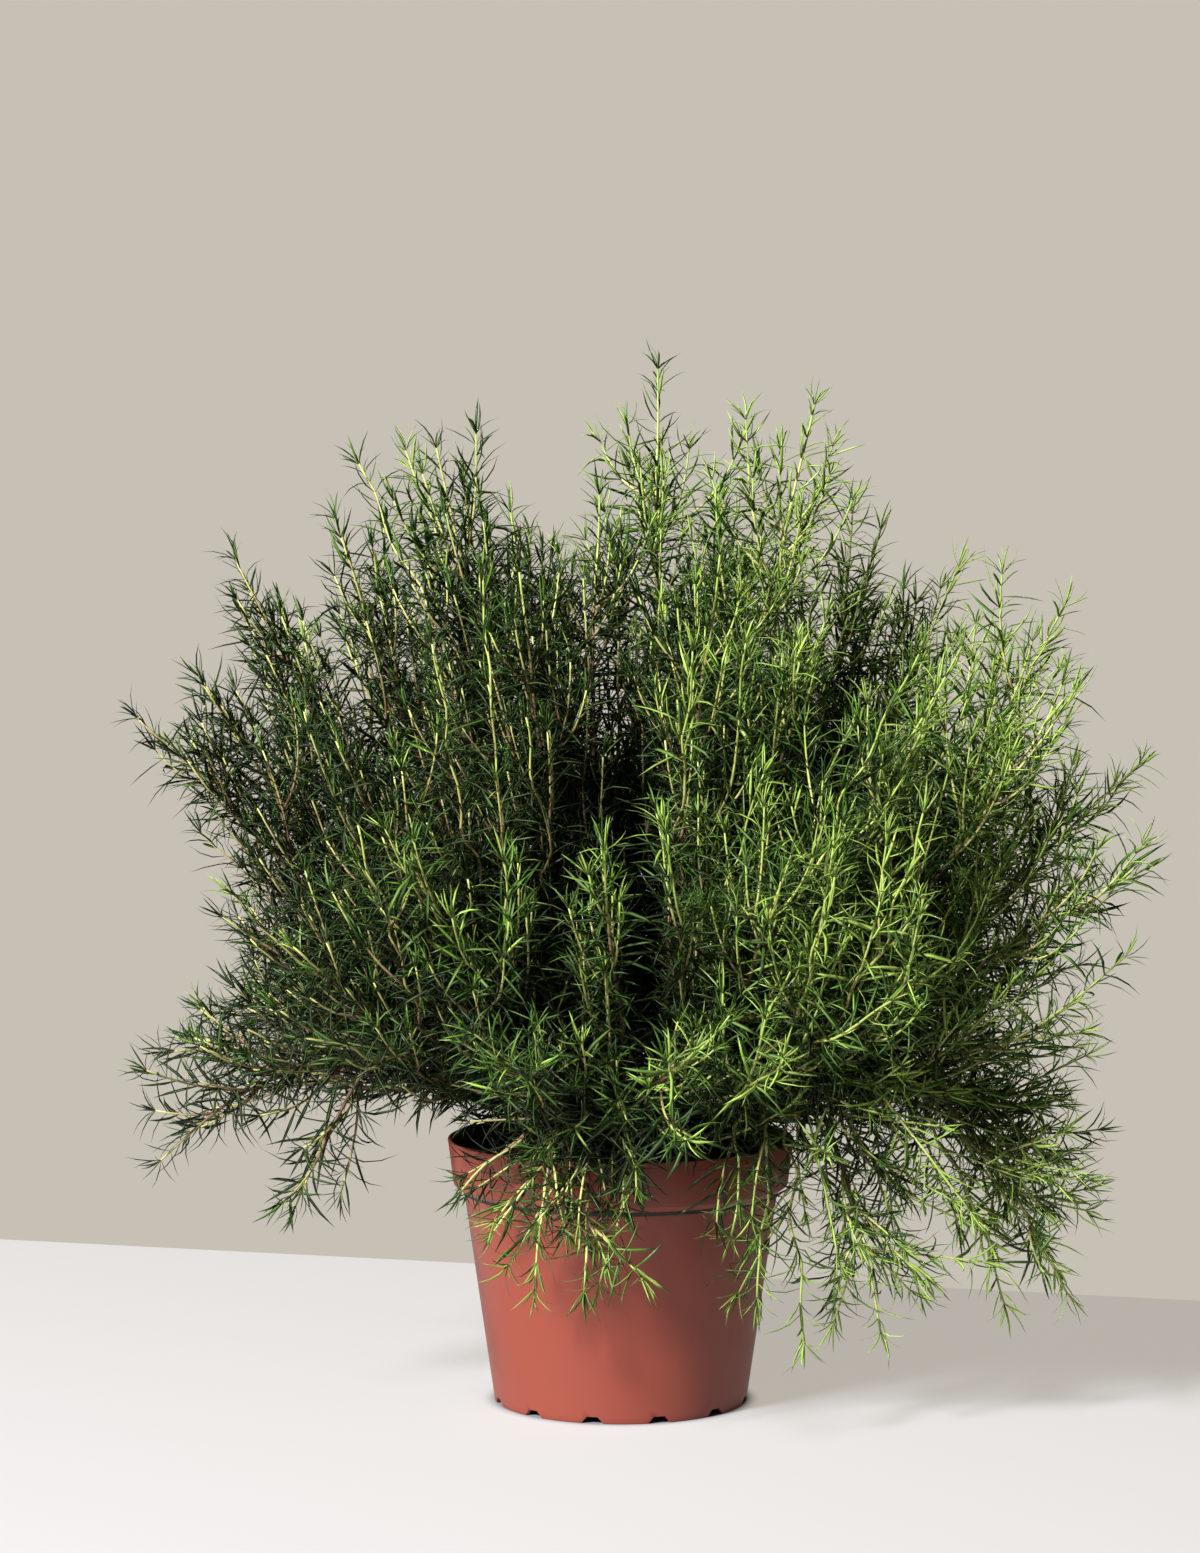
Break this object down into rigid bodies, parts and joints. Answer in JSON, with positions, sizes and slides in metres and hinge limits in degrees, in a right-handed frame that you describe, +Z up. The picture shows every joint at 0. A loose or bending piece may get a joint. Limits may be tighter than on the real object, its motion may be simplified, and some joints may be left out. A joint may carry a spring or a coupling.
{
  "type": "potted rosemary plant",
  "caption": "Bushy rosemary in a round tapered plastic nursery pot; free-standing, with upright, arching and overhanging leafy branches.",
  "frame": {"origin": "centre of the pot's flat underside, on the pot's axis", "axes": "+Z up along the pot's axis, +X to the plant's right and -Y to its front"},
  "size_m": [0.5968, 0.453, 0.6124],
  "materials": {
    "pot_plastic": "satin moulded, terracotta colour",
    "potting_mix": "moist peat and bark crumbs",
    "bark": "matte, flaking",
    "leaves": "soft gloss above, matte below"
  },
  "bodies": {
    "root": {"leafy_branch_back_1": "leaves", "leafy_branch_back_2": "leaves", "leafy_branch_back_3": "leaves", "leafy_branch_back_4": "leaves", "leafy_branch_centre_left_1": "leaves", "leafy_branch_centre_left_2": "leaves", "leafy_branch_centre_left_3": "leaves", "leafy_branch_centre_left_4": "leaves", "leafy_branch_centre_right_1": "leaves", "leafy_branch_centre_right_2": "leaves", "leafy_branch_centre_right_3": "leaves", "leafy_branch_centre_right_4": "leaves", "leafy_branch_centre_right_5": "leaves", "leafy_branch_front_1": "leaves", "leafy_branch_front_2": "leaves", "leafy_branch_front_3": "leaves", "leafy_branch_front_4": "leaves", "leafy_branch_left_1": "leaves", "leafy_branch_left_2": "leaves", "leafy_branch_left_3": "leaves", "leafy_branch_left_4": "leaves", "leafy_branch_left_5": "leaves", "leafy_branch_left_6": "leaves", "leafy_branch_left_7": "leaves", "leafy_branch_left_back_1": "leaves", "leafy_branch_left_back_2": "leaves", "leafy_branch_left_back_3": "leaves", "leafy_branch_left_back_4": "leaves", "leafy_branch_left_front_1": "leaves", "leafy_branch_left_front_2": "leaves", "leafy_branch_left_front_3": "leaves", "leafy_branch_right_1": "leaves", "leafy_branch_right_2": "leaves", "leafy_branch_right_3": "leaves", "leafy_branch_right_4": "leaves", "leafy_branch_right_5": "leaves", "leafy_branch_right_back_1": "leaves", "leafy_branch_right_back_2": "leaves", "leafy_branch_right_back_3": "leaves", "leafy_branch_right_back_4": "leaves", "leafy_branch_right_front_1": "leaves", "leafy_branch_right_front_2": "leaves", "leafy_branch_right_front_3": "leaves", "leafy_branch_right_low_1": "leaves", "leafy_branch_right_low_2": "leaves", "leafy_branch_right_low_3": "leaves", "leafy_branch_right_low_4": "leaves", "pot": "pot_plastic", "potting_mix": "potting_mix", "woody_stem_back": "bark", "woody_stem_centre_left": "bark", "woody_stem_centre_right": "bark", "woody_stem_front": "bark", "woody_stem_left": "bark", "woody_stem_left_back": "bark", "woody_stem_left_front": "bark", "woody_stem_right": "bark", "woody_stem_right_back": "bark", "woody_stem_right_front": "bark", "woody_stem_right_low": "bark"}
  },
  "joints": []
}
